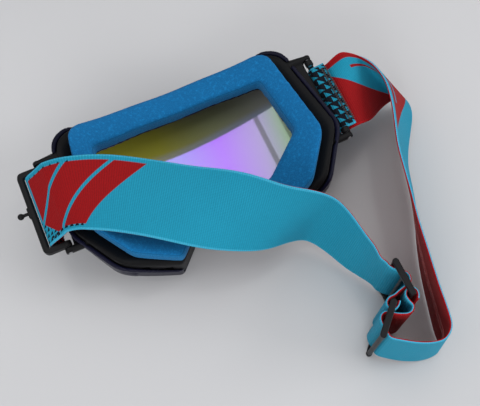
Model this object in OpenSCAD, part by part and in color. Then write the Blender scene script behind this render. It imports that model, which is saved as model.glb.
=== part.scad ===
// Motorcycle goggles lying on their lens, strap folded over and round to the side.
// Z is up, X runs along the width of the goggles, Y points to the forehead edge.
// The origin is on the table below the middle of the lens.

/* [Foam] */
// Width of the face foam across the temples
foam_w = 158; // [148:1:172]
// Height of the brow edge of the foam above the eye line
brow_h = 51; // [46:1:60]
// How far the brow edge arches up above its corners
brow_arch = 7; // [4:0.5:9]
// How far the cheeks of the foam reach below the eye line
cheek_drop = 57; // [54:1:62]
// Radius of the curve that fits the face
face_r = 145; // [125:1:175]
// Width of the foam band at the brow
band_w = 17.5; // [13:0.5:20]
// Thickness of the soft foam
foam_t = 10; // [6:0.5:14]
// Thickness of the fleece that touches the skin
fleece_t = 2; // [1:0.5:3]

/* [Frame] */
// How far the frame stands outside the foam at the temples
temple_out = 12; // [10:0.5:15]
// How far the frame stands outside the foam along the brow
brow_out = 3; // [2:0.5:6]
// Wall of the frame
wall_t = 2.5; // [2:0.25:3.5]
// Height of the foam seat above the table at the nose
seat_h = 26; // [24:1:32]

/* [Lens] */
// Outer radius of the front rim, the curve of the lens
rim_r = 112; // [106:1:130]
// Thickness of the lens
lens_t = 1.4; // [1:0.1:2]
// How far the rim laps over the edge of the lens
rim_lap = 6; // [4:0.5:8]
// Gap between the lens and the parts that hold it
lens_gap = 0.2; // [0.1:0.05:0.3]

/* [Outriggers] */
// Length of the slot that the strap passes through
slot_l = 51; // [46:1:54]
// Radius of the outer bar of an outrigger
outer_bar_r = 2.3; // [1.8:0.1:2.6]
// Radius of the hinge pins
pin_r = 1.25; // [1:0.05:1.5]
// Gap between a hinge pin and its lug
pin_gap = 0.05; // [0.02:0.01:0.08]
// Radius of the neck of a tear-off post
post_r = 1.1; // [0.9:0.1:1.4]

/* [Strap] */
// Width of the elastic strap
strap_w = 50; // [44:1:50]
// Thickness of the elastic strap
strap_t = 1.6; // [1.2:0.1:1.8]

/* [Sliders] */
// Radius of the three bars of a slider
bar_r = 1.6; // [1.3:0.1:1.8]
// Distance between neighbouring bars
bar_pitch = 10.5; // [10.2:0.1:10.8]
// Thickness of the side pieces of a slider
side_t = 2.6; // [2:0.2:3.4]

/* [Hidden] */

// Curves: the lens and rim are round about one axis, the seat and foam about another
rim_axis_z = rim_r;
lens_r = rim_r - 2;
seat_r = face_r + foam_t + fleece_t;
face_axis_z = seat_h + seat_r;
lens_back_r = lens_r - lens_t - lens_gap;
seat_lip = 2.2;
lip_w = 9;
flange_t = 2.5;
rim_drop = 2;
soft_gap = 0.3;
tall = 100;
arc_steps = 6;

// Corners [x, y, radius] of the right half of each outline, from the nose up to the brow
temple_x = foam_w / 2;
foam_half = [[12, -34, 10], [34, -cheek_drop, 4], [temple_x - 17, 12 - cheek_drop, 12],
             [temple_x + 1, -20, 15], [temple_x - 8, brow_h + 0.6, 13],
             [24, brow_h + brow_arch, 180]];
opening_half = [[9, -34 + band_w, 10], [36, band_w - 50, 7], [temple_x - band_w + 3, -10, 6],
                [temple_x - band_w - 2, brow_h - band_w, 4],
                [24, brow_h - band_w + brow_arch - 1, 150]];
frame_half = [[12.3, -33.2, 9], [35.3, -cheek_drop - 0.6, 4.5],
              [temple_x - 7, 10 - cheek_drop, 14], [temple_x + temple_out, -18, 16],
              [temple_x + 1, brow_h + brow_out + 1.5, 20], [24, brow_h + brow_arch + brow_out, 180]];
rim_half = [[11.8, -32.2, 8], [36.4, -cheek_drop - 1.8, 5],
            [temple_x - 5, 7.7 - cheek_drop, 15], [temple_x + temple_out + 2.8, -19.3, 17],
            [temple_x + 3.6, brow_h + brow_out + 4.1, 21],
            [24, brow_h + brow_arch + brow_out + 2.8, 180]];

function mirrored(half) = concat(half, [for (i = [len(half) - 1:-1:0])
    [-half[i][0], half[i][1], half[i][2]]]);
function unit(v) = v / norm(v);
function inward(a, b) = let (d = unit([b[0] - a[0], b[1] - a[1]])) [-d[1], d[0]];
// Moves every edge of a corner list inward by d, and keeps the rounding concentric
function inset(c, d) = [for (i = [0:len(c) - 1])
    let (n = len(c), p = c[(i + n - 1) % n], v = c[i], q = c[(i + 1) % n],
         a = inward(p, v), b = inward(v, q), k = d / (1 + a * b),
         turn = sign(a[0] * b[1] - a[1] * b[0]))
    [v[0] + k * (a[0] + b[0]), v[1] + k * (a[1] + b[1]), max(v[2] - turn * d, 0.8)]];
// Replaces every corner by an arc of its own radius
function rounded(c) = [for (i = [0:len(c) - 1])
    let (n = len(c), p = c[(i + n - 1) % n], v = c[i], q = c[(i + 1) % n],
         a = inward(p, v), b = inward(v, q),
         cross_ab = a[0] * b[1] - a[1] * b[0], s = sign(cross_ab),
         mid = [v[0], v[1]] + s * v[2] * (a + b) / (1 + a * b),
         start = atan2(a[1], a[0]), sweep = atan2(cross_ab, a * b))
    for (k = [0:arc_steps])
        let (t = start + sweep * k / arc_steps) mid - s * v[2] * [cos(t), sin(t)]];

foam_line = mirrored(foam_half);
opening_line = mirrored(opening_half);
frame_line = mirrored(frame_half);
rim_line = mirrored(rim_half);

module outline(line) { polygon(rounded(line)); }
module prism(line) { linear_extrude(height = tall) outline(line); }
module rim_curve(r) {
    translate([0, 0, rim_axis_z]) rotate([90, 0, 0])
        cylinder(h = 2 * tall, r = r, center = true, $fn = 180);
}
module face_curve(r) {
    translate([0, 0, face_axis_z]) rotate([90, 0, 0])
        cylinder(h = 2 * tall, r = r, center = true, $fn = 180);
}
// Everything inside an outline between the front curve r_front and the face curve r_face
module slab(line, r_front, r_face) {
    difference() {
        intersection() { prism(line); rim_curve(r_front); }
        face_curve(r_face);
    }
}
// A layer that follows the lens, r_out outside and r_in inside
module front_layer(line, r_out, r_in) {
    difference() {
        intersection() {
            linear_extrude(height = 70) outline(line);
            rim_curve(r_out);
        }
        rim_curve(r_in);
    }
}
// A ring that follows the face, from the curve r_low up to the curve r_high
module face_ring(r_low, r_high) {
    difference() {
        intersection() { prism(foam_line); face_curve(r_low); }
        face_curve(r_high);
        translate([0, 0, -1]) linear_extrude(height = tall + 2) outline(opening_line);
    }
}

// Vent slots: rows of upright slots through the brow wall and the two cheek walls
vent_w = 9;
vent_pitch = 14;
vent_z = 13;
vent_h = 5.5;
module vents() {
    for (i = [-2:2]) translate([i * vent_pitch, brow_h + brow_arch, vent_z + 0.5 * i * i])
        cube([vent_w, 20, vent_h], center = true);
    for (side = [-1, 1], i = [0:1])
        translate([side * (46 + i * vent_pitch), 5 - cheek_drop, 21 + i * 7])
            cube([vent_w, 26, vent_h - 1], center = true);
}

// Hinge of the outriggers
hinge_x = temple_x + 17.5;
hinge_z = 46;
bar_y = 5.5;
arm_t = 4;
lug_t = 4;
lug_gap = 0.3;
lug_r = 2.8;
lug_reach = 20;
inner_reach = 6.8;
outer_reach = 13;
post_y = 1.5;
post_l = 5.8;
ball_r = 2.1;
inner_bar_r = 1.6;
arm_y0 = slot_l / 2;
lug_y0 = arm_y0 + arm_t + lug_gap;

// One side's lugs: short arms from the temple wall that carry the hinge pins
module lugs(side, gap = 0) {
    for (up = [-1, 1]) {
        translate([side * (hinge_x - lug_reach / 2), bar_y + up * (lug_y0 + lug_t / 2), hinge_z])
            cube([lug_reach, lug_t + 2 * gap, 2 * (lug_r + gap) - 0.6], center = true);
        translate([side * hinge_x, bar_y + up * (lug_y0 + lug_t / 2), hinge_z])
            rotate([90, 0, 0]) cylinder(h = lug_t, r = lug_r, center = true, $fn = 48);
    }
}
// A web between the lugs and the temple wall, clear of the outrigger's arms and the webbing
web_t = 3;
web_gap = 3.6;
module lug_web(side, gap = 0) {
    inner = hinge_x - web_gap;
    low = bar_y - lug_y0;
    high = bar_y + lug_y0;
    translate([0, 0, hinge_z - lug_r + 0.3 - gap]) linear_extrude(height = web_t + 2 * gap)
        polygon([for (p = [[temple_x - 6, high + 8 + gap], [hinge_x, high + lug_t + gap],
                           [hinge_x, high - gap], [inner + gap, high - gap],
                           [inner + gap, low - gap], [temple_x - 2, low - gap]]) [side * p[0], p[1]]]);
}
module pin_holes(side) {
    translate([side * hinge_x, bar_y, hinge_z]) rotate([90, 0, 0])
        cylinder(h = 120, r = pin_r + pin_gap, center = true, $fn = 48);
}

module frame_body() {
    color([0.06, 0.06, 0.065]) difference() {
        union() {
            difference() {
                slab(frame_line, lens_back_r, seat_r);
                slab(inset(frame_line, wall_t), lens_back_r - seat_lip, seat_r + flange_t);
                translate([0, 0, 2]) linear_extrude(height = tall) outline(inset(opening_line, -1));
                slab(inset(frame_line, lip_w), lens_r, seat_r + flange_t);
                vents();
            }
            for (side = [-1, 1]) difference() {
                union() { lugs(side); lug_web(side); }
                prism(inset(frame_line, wall_t / 2));
            }
        }
        for (side = [-1, 1]) pin_holes(side);
    }
}

// Two grip tabs stand out of the rim below the cheeks
module rim_tabs() {
    for (side = [-1, 1]) intersection() {
        translate([side * (temple_x - 12.5), 11.5 - cheek_drop, 0]) rotate([0, 0, side * 21])
            linear_extrude(height = 60)
                polygon([[-6.5, 4], [6.5, 4], [6.5, -2.5], [4.2, -5.8], [-4.2, -5.8], [-6.5, -2.5]]);
        difference() { rim_curve(rim_r); rim_curve(rim_r - 7); }
    }
}
module front_rim() {
    color([0.03, 0.03, 0.07]) difference() {
        union() {
            front_layer(rim_line, rim_r, lens_r - 2);
            difference() {
                front_layer(rim_line, lens_r - 1.9, lens_r - 9);
                prism(inset(frame_line, -lens_gap));
            }
            difference() {
                rim_tabs();
                translate([0, 0, -1]) prism(inset(rim_line, 1));
            }
        }
        translate([0, 0, -1]) prism(inset(frame_line, rim_lap + 2));
        front_layer(inset(frame_line, 2 - lens_gap), lens_r + lens_gap, lens_r - 5);
        front_layer(inset(frame_line, -lens_gap), lens_back_r + 0.2, lens_r - 20);
        face_curve(seat_r + rim_drop);
        for (side = [-1, 1]) {
            lugs(side, soft_gap);
            lug_web(side, soft_gap);
        }
    }
}
module lens() {
    color([0.62, 0.5, 0.85, 0.6]) front_layer(inset(frame_line, 2), lens_r, lens_r - lens_t);
}
module face_foam() {
    color([0.1, 0.4, 0.68]) face_ring(seat_r - soft_gap, seat_r - foam_t);
}
module fleece_lining() {
    color([0.12, 0.45, 0.73]) face_ring(seat_r - foam_t - soft_gap, face_r);
}

// Thin foam behind the vent slots, 0.3 mm clear of the lens seat and the foam seat
vent_foam_t = 1.6;
module vent_strip() {
    difference() {
        slab(inset(frame_line, wall_t), lens_back_r - seat_lip - 0.3, seat_r + flange_t + 0.3);
        prism(inset(frame_line, wall_t + vent_foam_t));
    }
}
module vent_foam_top() {
    color([0.08, 0.08, 0.09]) intersection() {
        vent_strip();
        translate([-36, 30, 0]) cube([72, 60, tall]);
    }
}
module vent_foam_lower(side) {
    color([0.08, 0.08, 0.09]) intersection() {
        vent_strip();
        translate([side * 54 - 14, -75, 0]) cube([28, 40, tall]);
    }
}

// Turns what is drawn for a flat outrigger down about its hinge by fold degrees
left_fold = 0;
right_fold = 72;
module folded(side) {
    translate([side * hinge_x, bar_y, hinge_z])
        rotate([0, side * (side > 0 ? right_fold : left_fold), 0]) children();
}
// An outrigger: two arms, a slim inner bar inside the strap and a thick outer bar
module outrigger(side) {
    color([0.09, 0.09, 0.1]) folded(side) difference() {
        union() {
            for (up = [-1, 1]) translate([0, up * (arm_y0 + arm_t / 2), 0]) {
                translate([side * outer_reach / 2, 0, 0])
                    cube([outer_reach, arm_t, 4.2], center = true);
                for (end = [[0, lug_r], [outer_reach, outer_bar_r]])
                    translate([side * end[0], 0, 0]) rotate([90, 0, 0])
                        cylinder(h = arm_t, r = end[1], center = true, $fn = 48);
            }
            for (bar = [[inner_reach, inner_bar_r], [outer_reach, outer_bar_r]])
                translate([side * bar[0], 0, 0]) rotate([90, 0, 0])
                    cylinder(h = slot_l + 2, r = bar[1], center = true, $fn = 48);
            translate([side * (outer_reach + 0.8), post_y, 0])
                cube([2 * outer_bar_r, 7, 3.6], center = true);
        }
        rotate([90, 0, 0])
            cylinder(h = 120, r = pin_r + pin_gap, center = true, $fn = 48);
        translate([side * (outer_reach + 2), post_y, 0]) rotate([0, side * 90, 0])
            cylinder(h = 6, r = post_r, $fn = 32);
    }
}
// Two short pins, each through a lug and the arm beside it
module hinge_pins(side) {
    color([0.6, 0.6, 0.62]) for (up = [-1, 1])
        translate([side * hinge_x, bar_y + up * (arm_y0 + (arm_t + lug_gap + lug_t) / 2), hinge_z])
            rotate([90, 0, 0])
                cylinder(h = arm_t + lug_gap + lug_t, r = pin_r, center = true, $fn = 48);
}
// A post with a ball head that laminated tear-off films hook on
module tear_off_post(side) {
    color([0.07, 0.07, 0.08]) folded(side)
        translate([side * (outer_reach + 2), post_y, 0]) rotate([0, side * 90, 0]) {
            cylinder(h = post_l, r = post_r, $fn = 32);
            translate([0, 0, post_l]) sphere(r = ball_r, $fn = 32);
        }
}

// Buckle area: bars and webbing all stand along buckle_w, drawn in the plane across it
buckle_at = [77.8, -135.8, 30];
buckle_w = unit([0.01, 0.03, 1]);
buckle_u = unit([1, 0, 0] - buckle_w[0] * buckle_w);
buckle_v = cross(buckle_w, buckle_u);
function bk(p, q, s = 0) = buckle_at + p * buckle_u + q * buckle_v + s * buckle_w;
slider_a_end = [2.5, -2.5];
slider_a_dir = [0, 1];
slider_b_end = [-10.5, -3];
slider_b_dir = unit([-1, -1]);
function bars(end, dir) = [for (i = [0:2]) end + i * bar_pitch * dir];
side_gap = 0.4;

// Places its children with their Z along the bars and their X, Y across them
module in_buckle() {
    multmatrix([[buckle_u[0], buckle_v[0], buckle_w[0], buckle_at[0]],
                [buckle_u[1], buckle_v[1], buckle_w[1], buckle_at[1]],
                [buckle_u[2], buckle_v[2], buckle_w[2], buckle_at[2]],
                [0, 0, 0, 1]]) children();
}
module slider(end, dir) {
    points = bars(end, dir);
    half = strap_w / 2 + side_gap;
    color([0.08, 0.08, 0.09]) in_buckle() {
        for (c = points) translate([c[0], c[1], 0])
            cylinder(h = 2 * half + side_t, r = bar_r, center = true, $fn = 32);
        for (up = [-1, 1]) translate([0, 0, up * (half + side_t / 2)])
            linear_extrude(height = side_t, center = true) {
                for (c = [points[0], points[2]]) translate(c) circle(r = bar_r + 0.4, $fn = 32);
                translate(points[1]) rotate([0, 0, atan2(dir[1], dir[0])])
                    square([2 * bar_pitch, 2 * bar_r + 0.8], center = true);
            }
    }
}

// Webbing: stations [centre, direction across the width], smoothed between them.
// The left strap rises from its outrigger, crosses the foam, stands on edge and is
// threaded through slider_a before its end wraps the first bar of slider_b.
left_end_route = [
    [[-97.6, bar_y, 42.3], [0, 1, 0]], [[-101.4, bar_y, 42.4], [0, 1, 0]],
    [[-105.4, bar_y, 43.9], [0, 1, 0]], [[-106, bar_y, 47.2], [0, 1, 0]],
    [[-103.3, bar_y, 50.2], [0, 1, 0]], [[-99, bar_y, 53.4], [0, 1, 0]],
    [[-94.6, bar_y, 57], [0, 1, 0]]];
left_route = [
    [[-91.6, 5.2, 59.4], [0.02, 1, 0]], [[-81, 1.5, 63.4], [0.12, 0.99, 0]],
    [[-62, -6.5, 63.4], [0.42, 0.9, 0]], [[-39, -20.5, 62.5], [0.53, 0.85, 0]],
    [[-17, -35.5, 61], [0.55, 0.82, 0.12]], [[6, -49.5, 58.4], [0.52, 0.65, 0.5]],
    [[26.5, -60.4, 51.6], [0.44, 0.42, 0.78]], [[44, -64.6, 44.4], [0.4, 0.22, 0.9]],
    [[56, -69, 36.8], [0.36, 0.1, 0.93]], [[63.5, -80, 31.4], [0.28, 0.07, 0.955]],
    [[68.6, -94.5, 28.9], [0.18, 0.06, 0.98]], [[72, -103.5, 28.9], [0.1, 0.05, 0.99]]];
left_buckle = [[-3.8, 25], [-2, 21], [-1.3, 17.6], [2.2, 13.2], [5.6, 10.8], [6.6, 7.6],
               [5, 4.2], [1.6, 3.2], [-3, 2.2], [-7.2, 0.9], [-10.8, 0.8], [-13.6, -1.2],
               [-14, -4.2], [-11.6, -6.5], [-8.4, -5.6], [-6.2, -3.4]];
// The right strap leaves its outrigger underneath, sweeps round on edge and is threaded
// through slider_b before its end wraps the last bar of slider_a.
right_end_route = [
    [[106, bar_y, 44.6], [0, 1, 0]], [[101.6, bar_y, 43.7], [0, 1, 0]],
    [[97.9, bar_y, 43.4], [0, 1, 0]], [[95.8, bar_y, 41.5], [0, 1, 0]],
    [[95.7, bar_y, 38.2], [0, 1, 0]], [[97.6, bar_y, 36.7], [0, 1, 0]],
    [[100.6, bar_y, 37.05], [0, 1, 0]], [[104.4, bar_y, 38.5], [0, 1, 0]],
    [[108.5, bar_y + 0.1, 39.9], [0, 1, 0.03]]];
right_route = [
    [[112, 5.9, 40.4], [-0.04, 1, 0.1]], [[118, 7.2, 39.5], [-0.12, 0.9, 0.3]],
    [[126, 10.5, 36], [-0.25, 0.75, 0.55]], [[134, 13, 31], [-0.38, 0.64, 0.66]],
    [[142.5, 13, 26.5], [-0.46, 0.52, 0.72]], [[149, 6.5, 25.5], [-0.5, 0.4, 0.78]],
    [[149.5, -6, 25.3], [-0.46, 0.28, 0.84]], [[143.8, -20, 25.4], [-0.4, 0.18, 0.9]],
    [[137, -33, 25.4], [-0.35, 0.12, 0.93]], [[130.5, -47, 25.4], [-0.33, 0.07, 0.94]],
    [[126, -62, 25.5], [-0.32, 0.05, 0.95]], [[120.5, -80, 25.6], [-0.28, 0.05, 0.96]],
    [[113.5, -98, 25.7], [-0.2, 0.06, 0.98]], [[107, -119, 25.8], [-0.12, 0.07, 0.99]],
    [[101.5, -140, 25.8], [-0.08, 0.08, 0.99]], [[97.6, -157, 25.8], [-0.05, 0.07, 1]],
    [[95.4, -165.6, 25.8], [-0.08, 0.06, 1]], [[89.5, -170.2, 25.8], [-0.12, 0.06, 1]],
    [[80, -169.4, 26.2], [-0.08, 0.08, 1]], [[70.4, -165.6, 27.8], [-0.03, 0.07, 1]],
    [[62.4, -160.8, 29.4], [0, 0.05, 1]]];
right_buckle = [[-21.6, -20.4], [-21.7, -16], [-22.2, -11.6], [-21, -7.4], [-17.6, -5.8],
                [-14.4, -7.6], [-11.3, -9.8], [-8, -11.4], [-5, -12.3], [-2, -11.6],
                [-0.2, -9], [-1, -5.8], [-1.3, -2.4], [0.2, 0.3], [3.2, 1], [5.8, -0.8],
                [6, -3.8], [4.4, -6.6]];

function smooth(a, b, c, d, t) =
    0.5 * (2 * b + (c - a) * t + (2 * a - 5 * b + 4 * c - d) * t * t
           + (3 * b - a - 3 * c + d) * t * t * t);
function along(route, steps) = let (last = len(route) - 1) [
    for (i = [0:last - 1], k = [0:steps - 1])
        let (t = k / steps, a = route[max(i - 1, 0)], b = route[i], c = route[i + 1],
             d = route[min(i + 2, last)])
        [for (j = [0, 1]) smooth(a[j], b[j], c[j], d[j], t)],
    route[last]];
function buckle_route(points) = [for (c = points) [bk(c[0], c[1]), buckle_w]];
// Corner rings of a ribbon: width from a to b across, thickness from low to high
function rings(path, a, b, low, high) = let (last = len(path) - 1) [
    for (i = [0:last])
        let (c = path[i][0], tangent = path[min(i + 1, last)][0] - path[max(i - 1, 0)][0],
             w = unit(path[i][1]), n = unit(cross(tangent, w)))
        each [c + a * w + low * n, c + b * w + low * n, c + b * w + high * n, c + a * w + high * n]];
module ribbon(path, a, b, low, high) {
    count = len(path);
    points = rings(path, a, b, low, high);
    faces = concat(
        [[0, 1, 2], [0, 2, 3]],
        [for (i = [0:count - 2], k = [0:3]) each [
            [4 * i + k, 4 * i + 4 + k, 4 * i + 4 + (k + 1) % 4],
            [4 * i + k, 4 * i + 4 + (k + 1) % 4, 4 * i + (k + 1) % 4]]],
        [[4 * count - 4, 4 * count - 2, 4 * count - 3], [4 * count - 4, 4 * count - 1, 4 * count - 2]]);
    polyhedron(points, faces);
}
module webbing(path) { ribbon(path, -strap_w / 2, strap_w / 2, -strap_t / 2, strap_t / 2); }

// The ends by the outriggers follow the temples when the foam is made wider or narrower
laid_w = 158;
function carried(route, side) = [for (s = route)
    let (c = s[0], share = side < 0 ? -c[0] / 80 : c[1] / 60 + 2,
         spread = (foam_w - laid_w) / 2 * max(0, min(1, share)))
    [[c[0] + side * spread, c[1], c[2]], s[1]]];

left_path = concat(along(carried(left_route, -1), 4), along(buckle_route(left_buckle), 3));
right_path = concat(along(carried(right_route, 1), 3), along(buckle_route(right_buckle), 3));

module strap_end_left() { color([0.65, 0.06, 0.08]) webbing(along(carried(left_end_route, -1), 4)); }
module strap_end_right() { color([0.65, 0.06, 0.08]) webbing(along(carried(right_end_route, 1), 4)); }
module strap_left() { color([0.16, 0.6, 0.74]) webbing(left_path); }
module strap_right() { color([0.16, 0.6, 0.74]) webbing(right_path); }

// Clear silicone bead down the middle of each strap's inner face
grip_w = 3;
grip_t = 0.6;
grip_gap = 0.6;
function part_of(path, first, last) = [for (i = [first:last]) path[i]];
module grip(path, first, last, face) {
    low = strap_t / 2 + grip_gap;
    color([0.8, 0.7, 0.7]) ribbon(part_of(path, first, last), -grip_w / 2, grip_w / 2,
        face > 0 ? low : -low - grip_t, face > 0 ? low + grip_t : -low);
}
// Dense stitching that holds the folded end of each strap
module bar_tack(side) {
    x = (side > 0 ? 104.4 : -99.4) + side * (foam_w - laid_w) / 2;
    z = side > 0 ? 45.9 : 40.8;
    color([0.03, 0.03, 0.05]) translate([x, bar_y, z])
        cube([1.6, strap_w - 6, 0.6], center = true);
}

frame_body();
front_rim();
lens();
face_foam();
fleece_lining();
vent_foam_top();
vent_foam_lower(-1);  // vent_foam_lower_left
vent_foam_lower(1);  // vent_foam_lower_right
outrigger(-1);  // outrigger_left
outrigger(1);  // outrigger_right
hinge_pins(-1);  // hinge_pins_left
hinge_pins(1);  // hinge_pins_right
tear_off_post(-1);  // tear_off_post_left
tear_off_post(1);  // tear_off_post_right
strap_end_left();
strap_end_right();
strap_left();
strap_right();
bar_tack(-1);  // bar_tack_left
bar_tack(1);  // bar_tack_right
slider(slider_a_end, slider_a_dir);  // slider_a
slider(slider_b_end, slider_b_dir);  // slider_b
grip(left_path, 4, 40, -1);  // grip_left
grip(right_path, 2, 54, 1);  // grip_right
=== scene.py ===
"""Riding goggles lying on their lens, with the elastic strap folded over and round to one side."""

import logging
import math
from collections.abc import Callable, Sequence
from dataclasses import dataclass
from enum import Enum
from typing import Protocol

import bmesh
import bpy
import numpy as np
from mathutils import Euler, Matrix, Vector

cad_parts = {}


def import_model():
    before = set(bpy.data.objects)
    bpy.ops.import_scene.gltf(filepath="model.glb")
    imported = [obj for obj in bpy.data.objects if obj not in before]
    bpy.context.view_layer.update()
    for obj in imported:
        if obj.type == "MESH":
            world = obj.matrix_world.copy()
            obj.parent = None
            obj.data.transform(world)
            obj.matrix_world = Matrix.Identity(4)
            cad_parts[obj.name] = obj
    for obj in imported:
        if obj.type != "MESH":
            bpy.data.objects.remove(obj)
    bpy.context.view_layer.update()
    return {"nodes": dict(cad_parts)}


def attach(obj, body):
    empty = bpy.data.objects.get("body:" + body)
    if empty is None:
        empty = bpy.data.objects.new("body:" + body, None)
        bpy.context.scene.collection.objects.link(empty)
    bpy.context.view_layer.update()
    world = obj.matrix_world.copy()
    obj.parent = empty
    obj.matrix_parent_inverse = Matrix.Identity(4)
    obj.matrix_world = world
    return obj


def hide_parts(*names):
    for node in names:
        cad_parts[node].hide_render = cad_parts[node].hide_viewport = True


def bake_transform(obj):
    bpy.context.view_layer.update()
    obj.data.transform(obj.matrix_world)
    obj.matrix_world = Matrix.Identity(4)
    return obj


MM = 0.001
TINY = 1e-9
LOG = logging.getLogger("goggles")
SOLID_WELD = 0.000002
RIBBON_WELD = 0.000001
Corner = tuple[float, float, float]
Colour = tuple[float, float, float]
Place = tuple[float, float, float]
Station = tuple[Place, Place]


# ---------------------------------------------------------------- shader maths


class Wire:
    """One output socket of a shader node, with arithmetic that adds Math nodes."""

    def __init__(self, paint: "Paint", socket: bpy.types.NodeSocket) -> None:
        """Holds a socket and the paint whose tree it belongs to."""
        self.paint = paint
        self.socket = socket

    def _math(self, operation: str, first: object, second: object = 0.0) -> "Wire":
        """The output of one Math node on two values or wires."""
        return self.paint.make("ShaderNodeMath", {"operation": operation}, {0: first, 1: second})

    def __add__(self, other: object) -> "Wire":
        """Sum."""
        return self._math("ADD", self, other)

    __radd__ = __add__

    def __sub__(self, other: object) -> "Wire":
        """Difference."""
        return self._math("SUBTRACT", self, other)

    def __rsub__(self, other: object) -> "Wire":
        """Difference with the wire second."""
        return self._math("SUBTRACT", other, self)

    def __mul__(self, other: object) -> "Wire":
        """Product."""
        return self._math("MULTIPLY", self, other)

    __rmul__ = __mul__

    def __truediv__(self, other: object) -> "Wire":
        """Quotient."""
        return self._math("DIVIDE", self, other)

    def __pow__(self, other: object) -> "Wire":
        """Power."""
        return self._math("POWER", self, other)

    def __abs__(self) -> "Wire":
        """Size without the sign."""
        return self._math("ABSOLUTE", self)

    def sine(self) -> "Wire":
        """Sine of an angle in radians."""
        return self._math("SINE", self)

    def part(self) -> "Wire":
        """What is left after the whole number."""
        return self._math("FRACT", self)

    def least(self, other: object) -> "Wire":
        """The smaller of two."""
        return self._math("MINIMUM", self, other)

    def most(self, other: object) -> "Wire":
        """The larger of two."""
        return self._math("MAXIMUM", self, other)

    def over(self, edge: object, soft: float) -> "Wire":
        """1 above an edge and 0 below it, with a ramp as wide as soft between."""
        ramp = (self - edge) / soft + 0.5
        return ramp.most(0.0).least(1.0)

    def between(self, low: object, high: object, soft: float) -> "Wire":
        """1 between two edges and 0 outside them, with ramps as wide as soft."""
        return self.over(low, soft) * (1.0 - self.over(high, soft))


class Paint:
    """The node tree of one material."""

    def __init__(self, name: str) -> None:
        """Starts an empty tree.

        Args:
            name: the material's name.
        """
        self.material = bpy.data.materials.new(name)
        self.material.use_nodes = True
        self.tree = self.material.node_tree
        self.tree.nodes.clear()

    def make(self, kind: str, settings: dict[str, object], inputs: dict[int | str, object],
             out: int | str = 0) -> Wire:
        """Any node.

        Args:
            kind: the node's type.
            settings: its properties; "stops" are a ramp's (position, colour) pairs.
            inputs: values or wires, by socket name or number.
            out: which output to hand back.

        Returns:
            The chosen output.
        """
        node = self.tree.nodes.new(kind)
        for name, value in settings.items():
            if name == "stops":
                elements = node.color_ramp.elements
                while len(elements) < len(value):
                    elements.new(0.5)
                for element, (place, colour) in zip(elements, value):
                    element.position, element.color = place, (*colour, 1.0)
            else:
                setattr(node, name, value)
        for name, value in inputs.items():
            if isinstance(value, Wire):
                self.tree.links.new(value.socket, node.inputs[name])
            elif isinstance(value, tuple) and len(value) == 3 and node.inputs[name].type == "RGBA":
                node.inputs[name].default_value = (*value, 1.0)
            else:
                node.inputs[name].default_value = value
        return Wire(self, node.outputs[out])

    def place(self) -> Wire:
        """Object coordinates, in metres."""
        return self.make("ShaderNodeTexCoord", {}, {}, "Object")

    def axes(self, vector: Wire) -> tuple[Wire, Wire, Wire]:
        """The X, Y and Z of a vector wire."""
        node = self.make("ShaderNodeSeparateXYZ", {}, {0: vector}).socket.node
        return tuple(Wire(self, node.outputs[i]) for i in range(3))

    def noise(self, scale: float, detail: float = 3.0, vector: Wire | None = None) -> Wire:
        """Soft noise from 0 to 1 with so many features a metre, read at a vector or in place."""
        return self.make("ShaderNodeTexNoise", {},
                         {"Vector": vector or self.place(), "Scale": scale, "Detail": detail})

    def stretched(self, factors: tuple[float, float, float]) -> Wire:
        """Object coordinates times a factor for each axis."""
        return self.make("ShaderNodeVectorMath", {"operation": "MULTIPLY"},
                         {0: self.place(), 1: factors})

    def mix(self, mask: object, low: object, high: object) -> Wire:
        """The low colour where the mask is 0 and the high one where it is 1."""
        return self.make("ShaderNodeMix", {"data_type": "RGBA"}, {0: mask, 6: low, 7: high}, 2)

    def bump(self, height: Wire, depth: float, strength: float = 1.0) -> Wire:
        """A normal from a height, where 1 stands so many metres of depth above 0."""
        return self.make("ShaderNodeBump", {},
                         {"Height": height, "Distance": depth, "Strength": strength})

    def shader(self, **sockets: object) -> Wire:
        """A Principled shader, whose inputs are named with an underscore for each space."""
        return self.make("ShaderNodeBsdfPrincipled", {},
                         {name.replace("_", " "): value for name, value in sockets.items()})

    def finish(self, shader: Wire) -> bpy.types.Material:
        """Adds the output node.

        Args:
            shader: the shader that its surface shows.

        Returns:
            The material.
        """
        node = self.tree.nodes.new("ShaderNodeOutputMaterial")
        self.tree.links.new(shader.socket, node.inputs["Surface"])
        return self.material


# ---------------------------------------------------------------- finishes


CYAN: Colour = (0.012, 0.34, 0.52)
PALE_CYAN: Colour = (0.06, 0.50, 0.74)
RED: Colour = (0.36, 0.001, 0.002)
PALE_RED: Colour = (0.50, 0.002, 0.005)
BLACK: Colour = (0.003, 0.004, 0.010)
YARN_SHADOW: Colour = (0.0, 0.004, 0.008)


class Finish(Protocol):
    """Anything that a piece can be dressed in."""

    def material(self) -> bpy.types.Material:
        """The finish as a material."""


def toned(colour: Colour, factor: float, lift: float = 0.0) -> Colour:
    """A colour times a factor, with a lift added to each channel."""
    return tuple(channel * factor + lift for channel in colour)


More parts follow.
